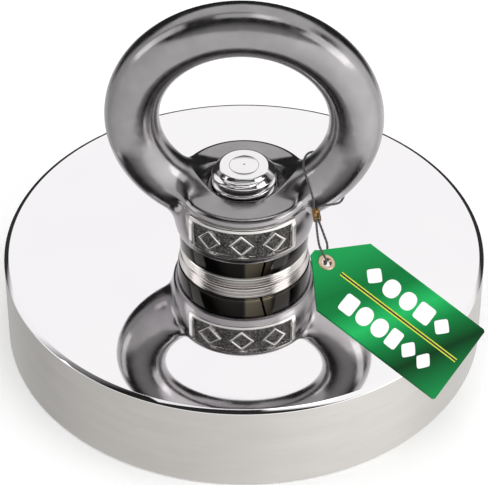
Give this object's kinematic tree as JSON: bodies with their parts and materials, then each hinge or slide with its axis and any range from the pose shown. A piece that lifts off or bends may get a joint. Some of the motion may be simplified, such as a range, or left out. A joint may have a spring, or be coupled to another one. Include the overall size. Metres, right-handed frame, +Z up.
{
  "type": "fishing magnet",
  "caption": "Round pot magnet with a bolted-on lifting eye nut and a hang tag, for pulling iron and steel out of water.",
  "frame": {"origin": "centre of the pot's pull face, on the plane of the pot's bottom edge", "axes": "+Z up the bolt from the pull face to the eye, +X along the width of the eye, -Y towards the side that the hang tag leans over"},
  "size_m": [0.06, 0.06, 0.0485],
  "materials": {
    "nickel": "bright nickel plating on steel",
    "magnet": "nickel plating on sintered neodymium iron boron",
    "resin": "black epoxy",
    "seat": "turned stainless steel",
    "bolt": "bright nickel plating on steel",
    "washer": "turned stainless steel",
    "lock": "polished dark spring steel",
    "cast": "polished cast stainless steel",
    "card": "gloss printed card",
    "eyelet": "rolled brass",
    "string": "twisted thread",
    "ferrule": "crimped brass"
  },
  "bodies": {
    "pot": {"pot_shell": "nickel", "ring_magnet": "magnet", "rim_resin": "resin", "bush_resin": "resin", "seat_bush": "seat", "bolt": "bolt", "flat_washer": "washer"},
    "lock": {"lock_washer": "lock"},
    "eye": {"eye_nut": "cast"},
    "tag": {"tag_card": "card", "tag_eyelet": "eyelet", "eyelet_washer": "eyelet", "tag_string": "string", "string_ferrule": "ferrule"}
  },
  "joints": [
    {"name": "eye_turn", "type": "hinge", "parent": "pot", "child": "lock", "pos_m": [0, 0, 0.0135], "axis": [0, 0, 1], "range_deg": [0, 2340]},
    {"name": "eye_lift", "type": "slide", "parent": "lock", "child": "eye", "axis": [0, 0, 1], "range_m": [0, 0.00813]},
    {"name": "tag_swing", "type": "hinge", "parent": "eye", "child": "tag", "pos_m": [0.00979, -0.00034, 0.02326], "axis": [-0.7067, 0.0247, -0.7071], "range_deg": [0, 90]}
  ],
  "couplings": [
    {"joint": "eye_lift", "follows": "eye_turn", "m_per_rad": 0.00019894}
  ]
}
